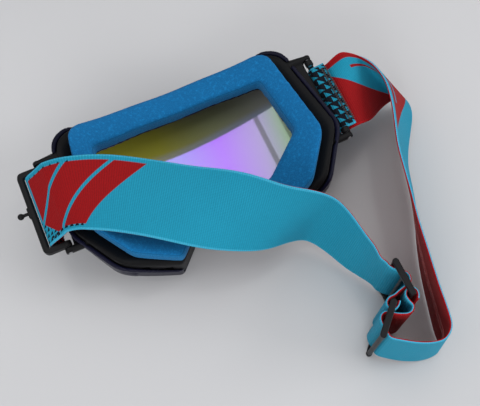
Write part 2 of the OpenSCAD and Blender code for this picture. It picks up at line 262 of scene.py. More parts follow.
@dataclass(frozen=True)
class MouldedPlastic:
    """Moulded plastic with fine spark-eroded grain, flow mottling and light scuffs."""

    name: str
    colour: Colour
    roughness: float
    grain: float = 0.00005
    scuff: float = 0.05

    def material(self) -> bpy.types.Material:
        """Mixes the finish.

        Returns:
            The finish as a material.
        """
        paint = Paint(self.name)
        fine = paint.noise(2600.0, 2.0)
        flow = paint.noise(38.0, 3.0)
        scratch = paint.noise(90.0, 4.0, paint.stretched((1.0, 14.0, 3.0))).over(0.66, 0.08)
        tone = flow.between(0.3, 0.75, 0.4)
        lighter = toned(self.colour, 1.5, 0.002)
        scuffed = toned(self.colour, 2.0, self.scuff * 0.15)
        colour = paint.mix(scratch * 0.35, paint.mix(tone, self.colour, lighter), scuffed)
        rough = fine * 0.08 + flow * 0.12 + scratch * 0.1 + (self.roughness - 0.1)
        normal = paint.bump(fine + scratch * 0.3, self.grain, 0.6)
        return paint.finish(paint.shader(Base_Color=colour, Roughness=rough, Normal=normal,
                                         Specular_IOR_Level=0.13))


@dataclass(frozen=True)
class Fleece:
    """Brushed fleece on open-cell foam, with a fine line where the two are glued."""

    name: str
    nap: Colour
    shade: Colour
    foam: Colour
    axis_z: float
    glue_r: float

    def material(self) -> bpy.types.Material:
        """Mixes the finish.

        Returns:
            The finish as a material.
        """
        paint = Paint(self.name)
        x, _, z = paint.axes(paint.place())
        radius = (x * x + (z - self.axis_z) * (z - self.axis_z)) ** 0.5
        seam_half = 0.00022
        below = radius.over(self.glue_r, 0.0004)
        seam = radius.between(self.glue_r - seam_half, self.glue_r + seam_half, 0.0003)
        fibre = paint.noise(1500.0, 4.0)
        tuft = paint.noise(520.0, 3.0)
        worn = paint.noise(45.0, 3.0)
        cells = paint.make("ShaderNodeTexVoronoi", {"feature": "F1"},
                           {"Vector": paint.place(), "Scale": 1700.0})
        nap = paint.mix(fibre.between(0.42, 0.85, 0.3), self.nap, self.shade)
        nap = paint.mix(tuft.over(0.62, 0.2) * 0.55, nap, toned(self.nap, 1.35))
        nap = paint.mix(worn.over(0.58, 0.3) * 0.18, nap, self.shade)
        foam = paint.mix(cells.over(0.45, 0.3), self.foam, toned(self.foam, 0.7))
        colour = paint.mix(seam * 0.6, paint.mix(below, nap, foam), toned(self.foam, 0.3))
        height = fibre * 0.7 + tuft * 0.6 + cells * below * 0.8
        return paint.finish(paint.shader(Base_Color=colour, Roughness=0.95, Sheen_Weight=0.06,
                                         Sheen_Roughness=0.5, Specular_IOR_Level=0.1,
                                         Normal=paint.bump(height, 0.00035, 0.8)))


class Side(Enum):
    """Which face of the webbing."""

    OUTER = 1
    INNER = -1


class Layout(Enum):
    """Which of the two straps a pattern is for."""

    LEFT = "left"
    RIGHT = "right"


@dataclass(frozen=True)
class Webbing:
    """Woven elastic: cyan outside and red inside, with a jacquard pattern that swaps the two.

    Its sizes are millimetres across and along the webbing, which its own map "lay" gives.
    """

    name: str
    side: Side
    layout: Layout
    half: float = 25.0
    soft: float = 0.5
    rib_pitch: float = 1.35
    warp_pitch: float = 0.95
    selvedge_w: float = 1.3

    def _triangles(self, u: Wire, v: Wire, pitch: float) -> Wire:
        """A field of small right-angled triangles.

        Args:
            u: place across, in millimetres.
            v: place along, in millimetres.
            pitch: the size of one cell, in millimetres.

        Returns:
            1 inside a triangle.
        """
        cells_before, gap = 40.0, 0.12
        row = (u / pitch + cells_before).part()
        shift = ((u / pitch + cells_before) - row) * 0.5
        column = (v / pitch + cells_before + shift).part()
        return (column - row).over(gap, 0.08) * row.over(gap, 0.05)

    def _left(self, u: Wire, v: Wire) -> tuple[Wire, Wire]:
        """The left strap: slanted blocks, with triangles at the corner by the bar.

        Args:
            u: place across, in millimetres.
            v: place along, in millimetres.

        Returns:
            Where the second colour and where the black yarn shows.
        """
        lean, corner_lean, field_half = 0.86, 0.9, 21.3
        far_block, near_block, first_end = (36.0, 54.5), (12.6, 33.4), 10.0
        border_across, border_along = (20.9, 23.2), (4.0, 34.0)
        slant = v - u * lean
        blocks = slant.between(*far_block, self.soft).most(slant.between(*near_block, self.soft))
        blocks = blocks.most(1.0 - slant.over(first_end, self.soft))
        outside = (v + (u + self.half) * corner_lean).over(15.0, self.soft)
        field = (1.0 - abs(u).over(field_half, self.soft)) * v.over(2.0, self.soft) * outside
        border = self._triangles(u, v, 4.6) * abs(u).between(*border_across, 0.3)
        border = border * v.between(*border_along, self.soft)
        black = (self._triangles(u, v, 3.4) * (1.0 - outside)).most(border)
        return blocks * field, black

    def _right(self, u: Wire, v: Wire) -> tuple[Wire, Wire]:
        """The right strap: one wide chevron with a slit, and triangles on the turned-back end.

        Args:
            u: place across, in millimetres.
            v: place along, in millimetres.

        Returns:
            Where the second colour and where the black yarn shows.
        """
        point, lean, field_end = 58.0, 1.12, 20.6
        slit_across, slit_along = (12.4, 14.6), (32.0, 86.0)
        inside = (u + self.half) * lean - abs(v - point)
        slit = u.between(*slit_across, 0.4) * v.between(*slit_along, self.soft)
        field = inside.over(0.0, self.soft) * (1.0 - u.over(field_end, self.soft)) * (1.0 - slit)
        end = 1.0 - v.over(1.5, 0.4)
        black = end * (1.0 - self._triangles(u, v, 5.2))
        return field * (1.0 - end), black

    def material(self) -> bpy.types.Material:
        """Mixes the finish.

        Returns:
            The finish as a material.
        """
        paint = Paint(self.name)
        lay = paint.make("ShaderNodeUVMap", {"uv_map": "lay"}, {})
        u, v, _ = paint.axes(lay)
        second, black = self._left(u, v) if self.layout is Layout.LEFT else self._right(u, v)
        rib = (v * (math.tau / self.rib_pitch)).sine() * 0.5 + 0.5
        warp = (u * (math.tau / self.warp_pitch)).sine() * 0.5 + 0.5
        yarn = paint.noise(900.0, 3.0)
        wide = paint.noise(26.0, 2.0)
        main, other = (CYAN, RED) if self.side is Side.OUTER else (RED, CYAN)
        ground = paint.mix(second, main, other)
        ground = paint.mix(black, ground, BLACK)
        shade = (1.0 - rib) * 0.16 + (1.0 - warp) * 0.1 + yarn * 0.16 + wide * 0.12
        selvedge = abs(u).over(self.half - self.selvedge_w, 0.4)
        pale = PALE_CYAN if self.side is Side.OUTER else PALE_RED
        ground = paint.mix(selvedge * 0.8, ground, pale)
        colour = paint.mix(shade, ground, YARN_SHADOW)
        height = rib * 0.6 + warp * 0.35 + yarn * 0.4 + second * 0.35 - selvedge * 0.3
        return paint.finish(paint.shader(Base_Color=colour, Roughness=yarn * 0.15 + 0.68,
                                         Sheen_Weight=0.03, Sheen_Roughness=0.5,
                                         Specular_IOR_Level=0.16,
                                         Normal=paint.bump(height, 0.00022, 0.75)))


@dataclass(frozen=True)
class MirrorLens:
    """Yellow-tinted sheet, brightened with painted light, under a violet mirror coating whose shift
    towards the temples is partly painted reflection.
    """

    name: str
    coat_share: float = 0.62

    def material(self) -> bpy.types.Material:
        """Mixes the finish.

        Returns:
            The finish as a material.
        """
        paint = Paint(self.name)
        x, y, _ = paint.axes(paint.place())
        temple = 0.085
        along = (x + temple) / (2 * temple)
        film = paint.noise(14.0, 2.0)
        # Mirror coating colour, lavender to violet to green along the lens: partly the coating's own
        # shift, partly painted reflection of what the mirror faces.
        coat_and_painted_reflection = paint.make("ShaderNodeValToRGB", {"stops": [
            (0.0, (0.30, 0.34, 1.0)), (0.42, (0.28, 0.25, 1.0)), (0.62, (0.38, 0.09, 1.0)),
            (0.78, (0.38, 0.28, 0.66)), (0.9, (0.24, 0.40, 0.20))]},
            {"Fac": along + film * 0.06 - y * 0.5 - 0.03}, "Color")
        # The lens's own yellow, made brighter than it would show in the frame's shade: painted light
        # standing in for light shining through the lens on to the table beneath. It fades from yellow to
        # grey towards the right temple.
        tint_and_painted_light = paint.make("ShaderNodeValToRGB", {"stops": [
            (0.0, (0.98, 0.90, 0.05)), (0.40, (0.96, 0.92, 0.12)), (0.62, (0.80, 0.86, 0.42)),
            (0.85, (0.60, 0.62, 0.56))]}, {"Fac": along + film * 0.05 - 0.03}, "Color")
        haze = paint.noise(700.0, 3.0)
        mirror = paint.shader(Base_Color=coat_and_painted_reflection, Metallic=1.0, Roughness=haze * 0.03 + 0.04)
        sheet = paint.shader(Base_Color=tint_and_painted_light, Roughness=0.25, Alpha=0.9)
        coated = paint.make("ShaderNodeMixShader", {}, {0: self.coat_share, 1: sheet, 2: mirror})
        return paint.finish(coated)


@dataclass(frozen=True)
class Steel:
    """Drawn steel wire with fine rings."""

    name: str

    def material(self) -> bpy.types.Material:
        """Mixes the finish.

        Returns:
            The finish as a material.
        """
        paint = Paint(self.name)
        lines = paint.noise(500.0, 3.0, paint.stretched((1.0, 8.0, 1.0)))
        colour = paint.mix(lines, (0.38, 0.38, 0.4), (0.6, 0.6, 0.62))
        return paint.finish(paint.shader(Base_Color=colour, Metallic=1.0,
                                         Roughness=lines * 0.2 + 0.25,
                                         Normal=paint.bump(lines, 0.00003, 0.5)))


@dataclass(frozen=True)
class Thread:
    """Twisted polyester sewing thread."""

    name: str
    colour: Colour
    twist: float = 0.0005

    def material(self) -> bpy.types.Material:
        """Mixes the finish.

        Returns:
            The finish as a material.
        """
        paint = Paint(self.name)
        x, y, z = paint.axes(paint.place())
        plies = ((x + y + z) * (math.tau / self.twist)).sine() * 0.5 + 0.5
        # Lighter along the crests of the plies: painted highlight.
        colour = paint.mix(plies * 0.6, self.colour, toned(self.colour, 2.6, 0.01))
        return paint.finish(paint.shader(Base_Color=colour, Roughness=0.6, Sheen_Weight=0.2,
                                         Normal=paint.bump(plies, 0.0001, 0.6)))


@dataclass(frozen=True)
class Silicone:
    """Clear silicone that takes the colour of the webbing under it."""

    name: str
    colour: Colour

    def material(self) -> bpy.types.Material:
        """Mixes the finish.

        Returns:
            The finish as a material.
        """
        paint = Paint(self.name)
        cloudy = paint.noise(300.0, 3.0)
        colour = paint.mix(cloudy.over(0.55, 0.3) * 0.5, self.colour,
                           toned(self.colour, 1.4, 0.05))
        return paint.finish(paint.shader(Base_Color=colour, Roughness=cloudy * 0.12 + 0.12,
                                         Specular_IOR_Level=0.6, Alpha=0.85,
                                         Normal=paint.bump(cloudy, 0.0001, 0.4)))


@dataclass(frozen=True)
class FilterFoam:
    """Coarse open-cell foam behind the vents."""

    name: str

    def material(self) -> bpy.types.Material:
        """Mixes the finish.

        Returns:
            The finish as a material.
        """
        paint = Paint(self.name)
        cells = paint.make("ShaderNodeTexVoronoi", {"feature": "F1"},
                           {"Vector": paint.place(), "Scale": 1100.0})
        colour = paint.mix(cells.over(0.4, 0.3), (0.035, 0.035, 0.04), (0.006, 0.006, 0.007))
        return paint.finish(paint.shader(Base_Color=colour, Roughness=0.95,
                                         Normal=paint.bump(cells, 0.0005, 0.9)))


@dataclass(frozen=True)
class Tabletop:
    """Pale lacquered table."""

    name: str

    def material(self) -> bpy.types.Material:
        """Mixes the finish.

        Returns:
            The finish as a material.
        """
        paint = Paint(self.name)
        tone = paint.noise(3.0, 2.0)
        colour = paint.mix(tone, (0.53, 0.53, 0.54), (0.56, 0.56, 0.57))
        return paint.finish(paint.shader(Base_Color=colour, Roughness=0.2,
                                         Specular_IOR_Level=0.45))


# ---------------------------------------------------------------- outlines and shells


@dataclass(frozen=True)
class Outline:
    """A closed corner list [x, y, radius] in millimetres, the same as in the part's source."""

    half: tuple[Corner, ...]
    arc_steps: int = 8

    def corners(self) -> list[Corner]:
        """Both halves of the list."""
        return [*self.half, *[(-x, y, r) for x, y, r in reversed(self.half)]]

    def polygon(self) -> np.ndarray:
        """The rounded outline as points.

        Returns:
            An array of x, y in metres, anticlockwise.
        """
        corners = self.corners()
        points = []
        for i, (x, y, r) in enumerate(corners):
            before, after = np.array(corners[i - 1][:2]), np.array(corners[(i + 1) % len(corners)][:2])
            here = np.array((x, y))
            a, b = (here - before), (after - here)
            a, b = a / np.linalg.norm(a), b / np.linalg.norm(b)
            a, b = np.array((-a[1], a[0])), np.array((-b[1], b[0]))
            turn = a[0] * b[1] - a[1] * b[0]
            s = math.copysign(1.0, turn)
            middle = here + s * r * (a + b) / (1.0 + a @ b)
            start, sweep = math.atan2(a[1], a[0]), math.atan2(turn, a @ b)
            for k in range(self.arc_steps + 1):
                t = start + sweep * k / self.arc_steps
                points.append(middle - s * r * np.array((math.cos(t), math.sin(t))))
        return np.array(points) * MM

    def depth(self, places: np.ndarray) -> tuple[np.ndarray, np.ndarray]:
        """How deep places lie inside the outline.

        Args:
            places: x, y in metres.

        Returns:
            The depth, negative outside, and the unit vector that leads inward.
        """
        ring = self.polygon()
        best = np.full(len(places), np.inf)
        inward = np.zeros((len(places), 2))
        sign = np.ones(len(places))
        shortest, touching = 1e-7, 1e-6
        for a, b in zip(ring, np.roll(ring, -1, axis=0)):
            length = np.linalg.norm(b - a)
            if length < shortest:
                continue
            edge = (b - a) / length
            normal = np.array((-edge[1], edge[0]))
            along = np.clip((places - a) @ edge, 0.0, length)
            away = places - (a + along[:, None] * edge)
            distance = np.linalg.norm(away, axis=1)
            side = np.where(away @ normal >= 0, 1.0, -1.0)
            closer = distance < best - TINY
            best = np.where(closer, distance, best)
            sign = np.where(closer, side, sign)
            lead = away / np.maximum(distance, TINY)[:, None] * side[:, None]
            lead = np.where(distance[:, None] > touching, lead, normal)
            inward = np.where(closer[:, None], lead, inward)
        return best * sign, inward


@dataclass(frozen=True)
class Curve:
    """A round surface about an axis along Y, given by its radius and the axis's height."""

    radius: float
    axis_z: float
    inside: bool

    def depth(self, x: np.ndarray, z: np.ndarray) -> tuple[np.ndarray, np.ndarray]:
        """How deep places lie behind the surface.

        Args:
            x: places along X.
            z: places along Z.

        Returns:
            The depth, and the unit vector x, z that leads deeper.
        """
        out = np.stack([x, z - self.axis_z], axis=1)
        r = np.linalg.norm(out, axis=1)
        out = out / r[:, None]
        return (r - self.radius, out) if self.inside else (self.radius - r, -out)


@dataclass(frozen=True)
class Roll:
    """Rounds the edge where an outline's wall meets a curved face, on the outside or in a hole."""

    outline: Outline
    face: Curve
    radius: float
    hole: bool = False

    def apply(self, places: np.ndarray) -> np.ndarray:
        """Moves the places near the edge on to an arc.

        Args:
            places: x, y, z in metres.

        Returns:
            The moved places.
        """
        side, lead = self.outline.depth(places[:, :2])
        if self.hole:
            side, lead = -side, -lead
        deep, down = self.face.depth(places[:, 0], places[:, 2])
        a, b = self.radius - side, self.radius - deep
        reach = np.hypot(np.maximum(a, 0.0), np.maximum(b, 0.0))
        near = (a > 0) & (b > 0) & (reach > self.radius) & (side > -0.4 * self.radius)
        scale = np.where(near, self.radius / np.maximum(reach, TINY), 1.0)
        move_a, move_b = np.where(near, a * (1 - scale), 0.0), np.where(near, b * (1 - scale), 0.0)
        moved = places.copy()
        moved[:, :2] += lead * move_a[:, None]
        moved[:, 0] += down[:, 0] * move_b
        moved[:, 2] += down[:, 1] * move_b
        return moved


def finished(piece: bpy.types.Object) -> bpy.types.Object:
    """Applies a piece's modifiers.

    Args:
        piece: the piece.

    Returns:
        The same piece with a plain mesh.
    """
    graph = bpy.context.evaluated_depsgraph_get()
    mesh = bpy.data.meshes.new_from_object(piece.evaluated_get(graph))
    mesh.name = piece.name
    piece.modifiers.clear()
    piece.data = mesh
    return piece


def put(name: str, bm: bmesh.types.BMesh,
        materials: Sequence[bpy.types.Material]) -> bpy.types.Object:
    """Makes a piece from a bmesh.

    Args:
        name: the piece's name.
        bm: its shape, which is freed.
        materials: its materials in slot order.

    Returns:
        The piece.
    """
    mesh = bpy.data.meshes.new(name)
    bm.to_mesh(mesh)
    bm.free()
    for material in materials:
        mesh.materials.append(material)
    mesh.polygons.foreach_set("use_smooth", [True] * len(mesh.polygons))
    piece = bpy.data.objects.new(name, mesh)
    bpy.context.scene.collection.objects.link(piece)
    return piece


def places_of(mesh: bpy.types.Mesh) -> np.ndarray:
    """A mesh's vertices.

    Args:
        mesh: the mesh.

    Returns:
        An array of x, y, z.
    """
    flat = np.empty(len(mesh.vertices) * 3)
    mesh.vertices.foreach_get("co", flat)
    return flat.reshape(-1, 3)


@dataclass
class Moulding:
    """A moulded or foam piece made from its solid: skinned evenly, rolled at its edges, smoothed.

    Attributes:
        name: the piece's name.
        nodes: the solids that it is made from and stands for.
        body: the body that it rides on.
        slot: a name for its material slot; not used.
        finish: what it is dressed in.
        skin: the size of the skin's cells, in metres.
        passes: how often the skin is smoothed.
        rolls: the edges that are rounded.
        shape: a last change of its places.
    """

    name: str
    nodes: tuple[str, ...]
    body: str
    slot: str
    finish: Finish
    skin: float
    passes: int
    rolls: tuple[Roll, ...] = ()
    shape: Callable[[np.ndarray], np.ndarray] | None = None

    def build(self, solids: dict[str, bpy.types.Object]) -> bpy.types.Object:
        """Makes the piece and rides it on its body.

        Args:
            solids: the frame's nodes by name.

        Returns:
            The piece.
        """
        bm = bmesh.new()
        for node in self.nodes:
            bm.from_mesh(solids[node].data)
        bmesh.ops.remove_doubles(bm, verts=bm.verts, dist=SOLID_WELD)
        piece = put(self.name, bm, [self.finish.material()])
        remesh = piece.modifiers.new("skin", "REMESH")
        remesh.mode = "VOXEL"
        remesh.voxel_size = self.skin
        remesh.use_smooth_shade = True
        finished(piece)
        places = places_of(piece.data)
        for roll in self.rolls:
            places = roll.apply(places)
        if self.shape:
            places = self.shape(places)
        piece.data.vertices.foreach_set("co", places.ravel())
        bm = bmesh.new()
        bm.from_mesh(piece.data)
        for _ in range(self.passes):
            bmesh.ops.smooth_vert(bm, verts=bm.verts, factor=0.5,
                                  use_axis_x=True, use_axis_y=True, use_axis_z=True)
        bm.to_mesh(piece.data)
        bm.free()
        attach(piece, self.body)
        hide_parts(*self.nodes)
        return piece


# ---------------------------------------------------------------- the goggles


@dataclass
class Goggles:
    """Frame, rim, lens and foam, with the sizes that the part's source gives them."""

    temple: float = 79.0
    brow: float = 51.0
    arch: float = 7.0
    cheek: float = 57.0
    temple_out: float = 12.0
    brow_out: float = 3.0
    band: float = 17.5
    seat_r: float = 157.0
    face_r: float = 145.0
    face_axis: float = 183.0
    rim_r: float = 112.0
    rim_drop: float = 2.0
    foam_t: float = 10.0

    def foam_line(self) -> Outline:
        """Outer edge of the foam.

        Returns:
            The outline, in millimetres.
        """
        return Outline(((12, -34, 10), (34, -self.cheek, 4), (self.temple - 17, 12 - self.cheek, 12),
                        (self.temple + 1, -20, 15), (self.temple - 8, self.brow + 0.6, 13),
                        (24, self.brow + self.arch, 180)))

    def opening_line(self) -> Outline:
        """Edge of the face opening.

        Returns:
            The outline, in millimetres.
        """
        return Outline(((9, -34 + self.band, 10), (36, self.band - 50, 7),
                        (self.temple - self.band + 3, -10, 6),
                        (self.temple - self.band - 2, self.brow - self.band, 4),
                        (24, self.brow - self.band + self.arch - 1, 150)))

    def frame_line(self) -> Outline:
        """Outer edge of the frame.

        Returns:
            The outline, in millimetres.
        """
        return Outline(((12.3, -33.2, 9), (35.3, -self.cheek - 0.6, 4.5),
                        (self.temple - 7, 10 - self.cheek, 14),
                        (self.temple + self.temple_out, -18, 16),
                        (self.temple + 1, self.brow + self.brow_out + 1.5, 20),
                        (24, self.brow + self.arch + self.brow_out, 180)))

    def rim_line(self) -> Outline:
        """Outer edge of the front rim.

        Returns:
            The outline, in millimetres.
        """
        return Outline(((11.8, -32.2, 8), (36.4, -self.cheek - 1.8, 5),
                        (self.temple - 5, 7.7 - self.cheek, 15),
                        (self.temple + self.temple_out + 2.8, -19.3, 17),
                        (self.temple + 3.6, self.brow + self.brow_out + 4.1, 21),
                        (24, self.brow + self.arch + self.brow_out + 2.8, 180)))

    def _shells(self, solids: dict[str, bpy.types.Object]) -> list[bpy.types.Object]:
        """Makes the moulded frame and the rim round its front.

        Args:
            solids: the frame's nodes by name.

        Returns:
            The two pieces.
        """
        seat = Curve(self.seat_r * MM, self.face_axis * MM, inside=True)
        rim_top = Curve((self.seat_r + self.rim_drop) * MM, self.face_axis * MM, inside=True)
        front = Curve(self.rim_r * MM, self.rim_r * MM, inside=False)
        black = MouldedPlastic("black_moulding", (0.0022, 0.0022, 0.0026), roughness=0.42)
        navy = MouldedPlastic("blue_black_moulding", (0.003, 0.003, 0.012), roughness=0.3,
                              grain=0.00003)
        shell = Moulding("frame_shell", ("frame_body",), body="frame", slot="frame", finish=black,
                         skin=0.0009, passes=3, rolls=(Roll(self.frame_line(), seat, radius=0.0042),))
        rim = Moulding("front_rim_shell", ("front_rim",), body="frame", slot="rim", finish=navy,
                       skin=0.0007, passes=3, rolls=(Roll(self.rim_line(), front, radius=0.0028),
                                                     Roll(self.rim_line(), rim_top, radius=0.0016)))
        return [shell.build(solids), rim.build(solids)]

    def _face_foam(self, solids: dict[str, bpy.types.Object]) -> bpy.types.Object:
        """Makes the foam ring with its fleece.

        Args:
            solids: the frame's nodes by name.

        Returns:
            The piece.
        """
        face = Curve(self.face_r * MM, self.face_axis * MM, inside=True)
        blue = Fleece("blue_fleece", nap=(0.009, 0.175, 0.42), shade=(0.006, 0.12, 0.31),
                      foam=(0.010, 0.19, 0.45), axis_z=self.face_axis * MM,
                      glue_r=(self.seat_r - self.foam_t) * MM)
        rolls = (Roll(self.foam_line(), face, radius=0.0046),
                 Roll(self.opening_line(), face, radius=0.003, hole=True))
        ring = Moulding("face_foam_ring", ("face_foam", "fleece_lining"), body="frame", slot="fleece",
                        finish=blue, skin=0.0011, passes=6, rolls=rolls).build(solids)
        return ring

    def _vent_foams(self, solids: dict[str, bpy.types.Object]) -> list[bpy.types.Object]:
        """Makes the thin foams behind the vents.

        Args:
            solids: the frame's nodes by name.

        Returns:
            The three pieces.
        """
        filter_foam = FilterFoam("filter_foam")
        strips = []
        for node in ("vent_foam_top", "vent_foam_lower_left", "vent_foam_lower_right"):
            strip = Moulding(node + "_sheet", (node,), body="frame", slot="vent_foam",
                             finish=filter_foam, skin=0.0005, passes=2).build(solids)
            strips.append(strip)
        return strips

    def _dress(self, solids: dict[str, bpy.types.Object]) -> None:
        """Gives the solids that show as they are, the lens and the hinge pins, their finishes.

        Args:
            solids: the frame's nodes by name.
        """
        mirror = MirrorLens("violet_mirror").material()
        steel = Steel("hinge_steel").material()
        for node, material in (("lens", mirror), ("hinge_pins_left", steel), ("hinge_pins_right", steel)):
            solids[node].data.materials.clear()
            solids[node].data.materials.append(material)

    def build(self, solids: dict[str, bpy.types.Object]) -> list[bpy.types.Object]:
        """Makes the goggles without their strap.

        Args:
            solids: the frame's nodes by name.

        Returns:
            The pieces.
        """
        pieces = [*self._shells(solids), self._face_foam(solids), *self._vent_foams(solids)]
        self._dress(solids)
        return pieces


@dataclass
class Outrigger:
    """A strap outrigger with its tear-off post, turned down about its hinge by fold degrees."""

    side: int
    fold: float
    hinge: tuple[float, float] = (96.5, 46.0)
    bar_y: float = 5.5
    reach: float = 15.3
    half: float = 29.5
    corner: float = 4.5

    def _round_corners(self, places: np.ndarray) -> np.ndarray:
        """Rounds the two outer corners, seen along the hinge's turned Z.

        Args:
            places: x, y, z in metres.

        Returns:
            The moved places.
        """
        turn = math.radians(self.fold)
        out = np.array((self.side * math.cos(turn), -math.sin(turn)))
        flat = np.stack([places[:, 0] - self.side * self.hinge[0] * MM,
                         places[:, 2] - self.hinge[1] * MM], axis=1)
        along = flat @ out
        across = places[:, 1] - self.bar_y * MM
        r = self.corner * MM
        a = along - (self.reach * MM - r)
        b = np.abs(across) - (self.half * MM - r)
        reach = np.hypot(np.maximum(a, 0.0), np.maximum(b, 0.0))
        near = (a > 0) & (b > 0) & (reach > r)
        scale = np.where(near, r / np.maximum(reach, TINY), 1.0)
        moved = places.copy()
        step = np.where(near, a * (scale - 1.0), 0.0)
        moved[:, 0] += out[0] * step
        moved[:, 2] += out[1] * step
        moved[:, 1] += np.where(near, b * (scale - 1.0), 0.0) * np.sign(across)
        return moved

    def build(self, solids: dict[str, bpy.types.Object]) -> list[bpy.types.Object]:
        """Makes the outrigger and its post.

        Args:
            solids: the frame's nodes by name.

        Returns:
            The pieces.
        """
        word = "left" if self.side < 0 else "right"
        body, post_node = "outrigger_" + word, "tear_off_post_" + word
        grey = MouldedPlastic("grey_moulding_" + word, (0.0035, 0.0035, 0.004), roughness=0.4)
        dull = MouldedPlastic("post_" + word, (0.004, 0.004, 0.0045), roughness=0.34)
        arm = Moulding(body + "_moulding", (body,), body=body, slot="outrigger", finish=grey,
                       skin=0.0004, passes=5, shape=self._round_corners)
        post = Moulding(post_node + "_moulding", (post_node,), body=body, slot="outrigger",
                        finish=dull, skin=0.00022, passes=2)
        return [arm.build(solids), post.build(solids)]


@dataclass
class Slider:
    """A three-bar slider of the strap."""

    name: str

    def build(self, solids: dict[str, bpy.types.Object]) -> bpy.types.Object:
        """Makes the slider.

        Args:
            solids: the frame's nodes by name.

        Returns:
            The piece.
        """
        black = MouldedPlastic(self.name + "_plastic", (0.005, 0.005, 0.006), roughness=0.36)
        bars = Moulding(self.name + "_moulding", (self.name,), body=self.name, slot="slider",
                        finish=black, skin=0.0004, passes=2)
        return bars.build(solids)


# ---------------------------------------------------------------- the strap


@dataclass(frozen=True)
class Buckle:
    """Where the sliders stand: bars and webbing run along w, drawn in the plane across it."""

    at: Place = (77.8, -135.8, 30.0)
    along: Place = (0.01, 0.03, 1.0)

    def route(self, points: Sequence[tuple[float, float]]) -> list[Station]:
        """Places points of the plane.

        Args:
            points: places across the bars, in millimetres.

        Returns:
            Their stations.
        """
        w = Vector(self.along).normalized()
        u = (Vector((1, 0, 0)) - w.x * w).normalized()
        v = w.cross(u)
        return [(tuple(Vector(self.at) + p * u + q * v), tuple(w)) for p, q in points]


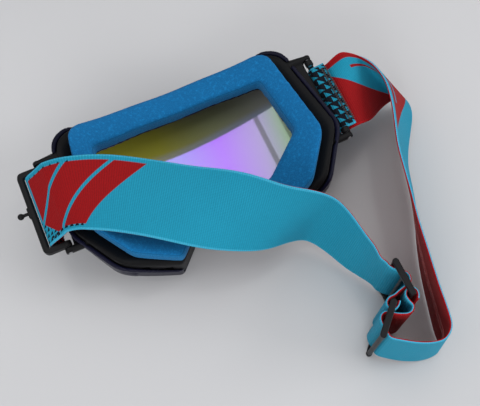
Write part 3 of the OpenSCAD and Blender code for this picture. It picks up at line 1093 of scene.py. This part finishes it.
@dataclass
class Strap:
    """One side's webbing, from its turned-back end to its wrap round a slider's bar.

    Attributes:
        layout: which strap it is.
        end: the turned-back end's stations, each a centre and the way its width runs.
        route: the stations from the outrigger to the sliders.
        weave: the way through the sliders, in the buckle's plane.
        turn: which station lengths along are counted from.
        outer: 1 where the outer face is the upper one of the sweep, or -1.
        blend: where the webbing would stop following the outrigger, and where the frame would have it;
            not used.
        bead: where along it the silicone beads start and end.
        tack: the middle of the bar tack.
        selvedge: how its edge rounds, as places in from it and shares of the half thickness.
    """

    layout: Layout
    end: tuple[Station, ...]
    route: tuple[Station, ...]
    weave: tuple[tuple[float, float], ...]
    turn: int
    outer: int
    blend: tuple[Place, Place]
    bead: tuple[float, float]
    tack: Place
    width: float = 50.0
    thick: float = 1.6
    steps: int = 7
    evenings: int = 4
    selvedge: tuple[tuple[float, float], ...] = ((0.0, 0.0), (0.12, 0.62), (0.45, 0.92), (1.2, 1.0))

    @property
    def word(self) -> str:
        """left or right."""
        return self.layout.value

    def path(self) -> tuple[np.ndarray, np.ndarray, np.ndarray]:
        """The smoothed centreline.

        Returns:
            Centres and width directions in metres, and the length along from the outer turn.
        """
        stations = [*self.end, *self.route, *Buckle().route(self.weave)]
        keys = np.array([(*c, *w) for c, w in stations])
        rows, marks = [], []
        last = len(keys) - 1
        for i in range(last):
            a, b, c, d = keys[max(i - 1, 0)], keys[i], keys[i + 1], keys[min(i + 2, last)]
            marks.append(len(rows))
            for k in range(self.steps):
                t = k / self.steps
                rows.append(0.5 * (2 * b + (c - a) * t + (2 * a - 5 * b + 4 * c - d) * t * t
                                   + (3 * b - a - 3 * c + d) * t ** 3))
        rows.append(keys[last])
        rows = np.array(rows)
        for _ in range(self.evenings):
            rows[1:-1] = 0.25 * rows[:-2] + 0.5 * rows[1:-1] + 0.25 * rows[2:]
        centres, across = rows[:, :3] * MM, rows[:, 3:]
        across = across / np.linalg.norm(across, axis=1)[:, None]
        length = np.concatenate([[0.0], np.cumsum(np.linalg.norm(np.diff(centres, axis=0), axis=1))])
        return centres, across, length - length[marks[self.turn]]

    def _section(self) -> tuple[list[tuple[float, float]], int]:
        """The webbing's cross-section, in millimetres.

        Returns:
            Points round it from one edge, over the top and back underneath, and how many
            of them go over the top.
        """
        half, h = self.width / 2, self.thick / 2
        edge = [(inward - half, share * h) for inward, share in self.selvedge]
        flat_half, flat_points = half - 3.0, 11
        over = edge + [(x, h) for x in np.linspace(-flat_half, flat_half, flat_points)]
        over += [(-x, y) for x, y in reversed(edge)]
        under = [(x, -y) for x, y in reversed(over[1:-1])]
        return over + under, len(over)

    def ribbon(self, name: str, section: list[tuple[float, float]], top: int,
               materials: list[bpy.types.Material], span: tuple[float, float] = (-9.0, 9.0),
               sway: tuple[float, float] = (0.0, 1.0)) -> bpy.types.Object:
        """Sweeps a cross-section along the path.

        Args:
            name: the piece's name.
            section: points round it, in millimetres.
            top: how many of them belong to the upper face.
            materials: outer and inner finish.
            span: the first and last place along, in metres.
            sway: how far, in millimetres, and over what length it wavers sideways.

        Returns:
            The piece.
        """
        centres, across, length = self.path()
        keep = (length >= span[0]) & (length <= span[1])
        tangent = np.gradient(centres, axis=0)
        normal = np.cross(tangent, across)
        normal /= np.linalg.norm(normal, axis=1)[:, None]
        centres, across, normal, length = centres[keep], across[keep], normal[keep], length[keep]
        count, rows = len(section), len(centres) - 1
        bm = bmesh.new()
        bmesh.ops.create_grid(bm, x_segments=count, y_segments=rows, size=0.5)
        lay = bm.loops.layers.uv.new("lay")
        where = {}
        for vert in bm.verts:
            where[vert] = (round((vert.co.x + 0.5) * count), round((vert.co.y + 0.5) * rows))
        closed = [*section, section[0]]
        for face in bm.faces:
            columns = [where[vert][0] for vert in face.verts]
            upper = min(columns) < top - 1
            face.material_index = 0 if upper == (self.outer > 0) else 1
            for loop in face.loops:
                column, row = where[loop.vert]
                loop[lay].uv = (closed[column][0], length[row] / MM)
        for vert, (column, row) in where.items():
            a, h = closed[column]
            a += sway[0] * math.sin(length[row] / MM * math.tau / sway[1])
            vert.co = Vector(centres[row] + (a * across[row] + h * normal[row]) * MM)
        bmesh.ops.remove_doubles(bm, verts=bm.verts, dist=RIBBON_WELD)
        bmesh.ops.holes_fill(bm, edges=[e for e in bm.edges if e.is_boundary], sides=0)
        bmesh.ops.recalc_face_normals(bm, faces=bm.faces)
        return put(name, bm, materials)

    def _stitches(self) -> bpy.types.Object:
        """The bar tack: dense stitches across the turned-back end.

        Returns:
            The piece.
        """
        x, y, z = (value * MM for value in self.tack)
        pitch, thread_r, row = 0.9 * MM, 0.32 * MM, 1.3 * MM
        drawn_out, lean, bare_edges = (3.4, 1.0, 0.8), 0.35, 6.0
        bm = bmesh.new()
        count = int((self.width - bare_edges) * MM / pitch)
        for column in (-row, row):
            for i in range(count):
                made = bmesh.ops.create_uvsphere(bm, u_segments=6, v_segments=4, radius=thread_r)
                verts = made["verts"]
                bmesh.ops.scale(bm, vec=drawn_out, verts=verts)
                turn = Matrix.Rotation(lean if i % 2 else -lean, 3, "Z")
                bmesh.ops.rotate(bm, verts=verts, cent=(0, 0, 0), matrix=turn)
                along = y + (i - (count - 1) / 2) * pitch
                bmesh.ops.translate(bm, verts=verts, vec=(x + column, along, z))
        piece = put("bar_tack_" + self.word + "_stitches", bm,
                    [Thread("thread_" + self.word, (0.012, 0.012, 0.014)).material()])
        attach(piece, "outrigger_" + self.word)
        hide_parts("bar_tack_" + self.word)
        return piece

    def build(self) -> list[bpy.types.Object]:
        """Makes the strap with its stitches and silicone beads.

        Returns:
            The pieces.
        """
        word = self.word
        section, top = self._section()
        skins = [Webbing("webbing_outer_" + word, Side.OUTER, self.layout).material(),
                 Webbing("webbing_inner_" + word, Side.INNER, self.layout).material()]
        strap = self.ribbon("strap_" + word + "_webbing", section, top, skins)
        _, _, length = self.path()
        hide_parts("strap_" + word, "strap_end_" + word)
        start, end = (tuple(value * MM for value in place) for place in self.blend)
        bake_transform(strap)
        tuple(start)
        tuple(end)
        stitches = self._stitches()
        beads = self._beads()
        float(length[-1] - length[0])
        return [strap, stitches, beads]

    def _beads(self) -> bpy.types.Object:
        """Two beads of clear silicone along the inner face.

        Returns:
            The piece.
        """
        sunk, proud, foot, shoulder, apart = 0.1, 0.55, 0.8, 0.5, 2.4
        low = -self.outer * (self.thick / 2 - sunk)
        high = -self.outer * (self.thick / 2 + proud)
        bend = 0.3 * low + 0.7 * high
        start, end = (value * MM for value in self.bead)
        silicone = Silicone("silicone_" + self.word, (0.30, 0.05, 0.05)).material()
        parts = []
        for i, middle in enumerate((-apart, apart)):
            section = [(middle - foot, low), (middle - shoulder, bend), (middle, high),
                       (middle + shoulder, bend), (middle + foot, low)]
            parts.append(self.ribbon(f"bead_{i}", section, 9, [silicone], (start, end), (0.35, 31.0)))
        bm = bmesh.new()
        for part in parts:
            bm.from_mesh(part.data)
            bpy.data.objects.remove(part)
        beads = put("grip_" + self.word + "_beads", bm, [silicone])
        for polygon in beads.data.polygons:
            polygon.material_index = 0
        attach(beads, "frame")
        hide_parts("grip_" + self.word)
        return beads


def straps() -> list[Strap]:
    """Both straps, on the routes that the part's source gives them.

    Returns:
        The left and the right strap.
    """
    y = Outrigger.bar_y
    across = (0.0, 1.0, 0.0)
    left = Strap(
        Layout.LEFT,
        (((-97.6, y, 42.3), across), ((-101.4, y, 42.4), across), ((-105.4, y, 43.9), across),
         ((-106, y, 47.2), across), ((-103.3, y, 50.2), across), ((-99, y, 53.4), across),
         ((-94.6, y, 57), across)),
        (((-91.6, 5.2, 59.4), (0.02, 1, 0)), ((-81, 1.5, 63.4), (0.12, 0.99, 0)),
         ((-62, -6.5, 63.4), (0.42, 0.9, 0)), ((-39, -20.5, 62.5), (0.53, 0.85, 0)),
         ((-17, -35.5, 61), (0.55, 0.82, 0.12)), ((6, -49.5, 58.4), (0.52, 0.65, 0.5)),
         ((26.5, -60.4, 51.6), (0.44, 0.42, 0.78)), ((44, -64.6, 44.4), (0.4, 0.22, 0.9)),
         ((56, -69, 36.8), (0.36, 0.1, 0.93)), ((63.5, -80, 31.4), (0.28, 0.07, 0.955)),
         ((68.6, -94.5, 28.9), (0.18, 0.06, 0.98)), ((72, -103.5, 28.9), (0.1, 0.05, 0.99))),
        ((-3.8, 25), (-2, 21), (-1.3, 17.6), (2.2, 13.2), (5.6, 10.8), (6.6, 7.6), (5, 4.2),
         (1.6, 3.2), (-3, 2.2), (-7.2, 0.9), (-10.8, 0.8), (-13.6, -1.2), (-14, -4.2),
         (-11.6, -6.5), (-8.4, -5.6), (-6.2, -3.4)),
        turn=3, outer=1, blend=((-100, y, 52.5), (-76, y, 62)), bead=(45.0, 215.0),
        tack=(-99.4, y, 41.1))
    right = Strap(
        Layout.RIGHT,
        (((106, y, 44.6), across), ((101.6, y, 43.7), across), ((97.9, y, 43.4), across),
         ((95.8, y, 41.5), across), ((95.7, y, 38.2), across), ((97.6, y, 36.7), across),
         ((100.6, y, 37.05), across), ((104.4, y, 38.5), across), ((108.5, 5.6, 39.9), (0, 1, 0.03))),
        (((112, 5.9, 40.4), (-0.04, 1, 0.1)), ((118, 7.2, 39.5), (-0.12, 0.9, 0.3)),
         ((126, 10.5, 36), (-0.25, 0.75, 0.55)), ((134, 13, 31), (-0.38, 0.64, 0.66)),
         ((142.5, 13, 26.5), (-0.46, 0.52, 0.72)), ((149, 6.5, 25.5), (-0.5, 0.4, 0.78)),
         ((149.5, -6, 25.3), (-0.46, 0.28, 0.84)), ((143.8, -20, 25.4), (-0.4, 0.18, 0.9)),
         ((137, -33, 25.4), (-0.35, 0.12, 0.93)), ((130.5, -47, 25.4), (-0.33, 0.07, 0.94)),
         ((126, -62, 25.5), (-0.32, 0.05, 0.95)), ((120.5, -80, 25.6), (-0.28, 0.05, 0.96)),
         ((113.5, -98, 25.7), (-0.2, 0.06, 0.98)), ((107, -119, 25.8), (-0.12, 0.07, 0.99)),
         ((101.5, -140, 25.8), (-0.08, 0.08, 0.99)), ((97.6, -157, 25.8), (-0.05, 0.07, 1)),
         ((95.4, -165.6, 25.8), (-0.08, 0.06, 1)), ((89.5, -170.2, 25.8), (-0.12, 0.06, 1)),
         ((80, -169.4, 26.2), (-0.08, 0.08, 1)), ((70.4, -165.6, 27.8), (-0.03, 0.07, 1)),
         ((62.4, -160.8, 29.4), (0, 0.05, 1))),
        ((-21.6, -20.4), (-21.7, -16), (-22.2, -11.6), (-21, -7.4), (-17.6, -5.8), (-14.4, -7.6),
         (-11.3, -9.8), (-8, -11.4), (-5, -12.3), (-2, -11.6), (-0.2, -9), (-1, -5.8),
         (-1.3, -2.4), (0.2, 0.3), (3.2, 1), (5.8, -0.8), (6, -3.8), (4.4, -6.6)),
        turn=4, outer=-1, blend=((112, y, 39), (130, y - 10.8, 39)), bead=(64.0, 262.0),
        tack=(104.4, y, 45.4))
    return [left, right]


# ---------------------------------------------------------------- the studio


def facing(eye: Place, target: Place) -> Euler:
    """The turn that points a camera or a lamp at eye towards target."""
    return (Vector(target) - Vector(eye)).to_track_quat("-Z", "Y").to_euler()


@dataclass(frozen=True)
class SoftBox:
    """One soft box: where it stands and the place it faces, its size and its watts."""

    name: str
    at: Place
    aim: Place
    size: tuple[float, float]
    power: float

    def build(self) -> None:
        """Hangs the lamp."""
        light = bpy.data.lights.new(self.name, "AREA")
        light.shape = "RECTANGLE"
        light.size, light.size_y = self.size
        light.energy = self.power
        box = bpy.data.objects.new(self.name, light)
        box.location = self.at
        box.rotation_euler = facing(self.at, self.aim)
        bpy.context.scene.collection.objects.link(box)


@dataclass(frozen=True)
class Studio:
    """Pale table, two soft boxes overhead, one on each side in front, and the camera."""

    eye: Place = (-0.05687, -0.19497, 0.48679)
    target: Place = (0.0163, -0.0314, 0.020)
    lens: float = 55.95
    table_half: float = 2.5
    air: tuple[float, float, float, float] = (0.86, 0.87, 0.9, 1.0)
    air_strength: float = 0.48
    boxes: tuple[SoftBox, ...] = (
        SoftBox("panel", (0.02, 0.5, 1.35), (0.02, 0.5, 0.0), (2.44, 1.5), 11.5),
        SoftBox("panel_end", (-1.76, 0.5, 1.35), (-1.76, 0.5, 0.0), (0.8, 1.5), 3.4),
        SoftBox("window", (1.5, -0.7, 0.8), (0.1, -0.05, 0.0), (0.9, 0.9), 13.5),
        SoftBox("fill", (-0.7, -1.2, 0.7), (-0.03, -0.03, 0.03), (0.9, 0.7), 10.0))

    def _table(self) -> None:
        """Makes the table."""
        bm = bmesh.new()
        bmesh.ops.create_grid(bm, x_segments=8, y_segments=8, size=self.table_half)
        table = put("tabletop", bm, [Tabletop("tabletop").material()])

    def _room(self) -> None:
        """Fills the room with an even light."""
        world = bpy.data.worlds.new("room")
        world.use_nodes = True
        background = world.node_tree.nodes["Background"]
        background.inputs["Color"].default_value = self.air
        background.inputs["Strength"].default_value = self.air_strength
        bpy.context.scene.world = world
        bpy.context.scene.view_settings.view_transform = "Standard"

    def _camera(self) -> None:
        """Sets up the camera."""
        camera = bpy.data.cameras.new("camera")
        camera.lens = self.lens
        camera.sensor_width = 36.0
        camera.clip_start = 0.01
        view = bpy.data.objects.new("camera", camera)
        view.location = self.eye
        view.rotation_euler = facing(self.eye, self.target)
        bpy.context.scene.collection.objects.link(view)
        bpy.context.scene.camera = view

    def build(self) -> None:
        """Makes the table, the lights, the room and the camera."""
        self._table()
        for box in self.boxes:
            box.build()
        self._room()
        self._camera()


def main() -> None:
    """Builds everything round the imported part."""
    logging.basicConfig(level=logging.INFO, format="%(message)s")
    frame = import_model()
    Studio().build()
    solids = frame["nodes"]
    made = Goggles().build(solids)
    made += Outrigger(side=-1, fold=0.0).build(solids)
    made += Outrigger(side=1, fold=72.0).build(solids)
    for name in ("slider_a", "slider_b"):
        made.append(Slider(name).build(solids))
    for strap in straps():
        made += strap.build()
    for piece in made:
        LOG.info("%s: %d faces", piece.name, len(piece.data.polygons))
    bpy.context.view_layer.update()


if __name__ == "__main__":
    main()
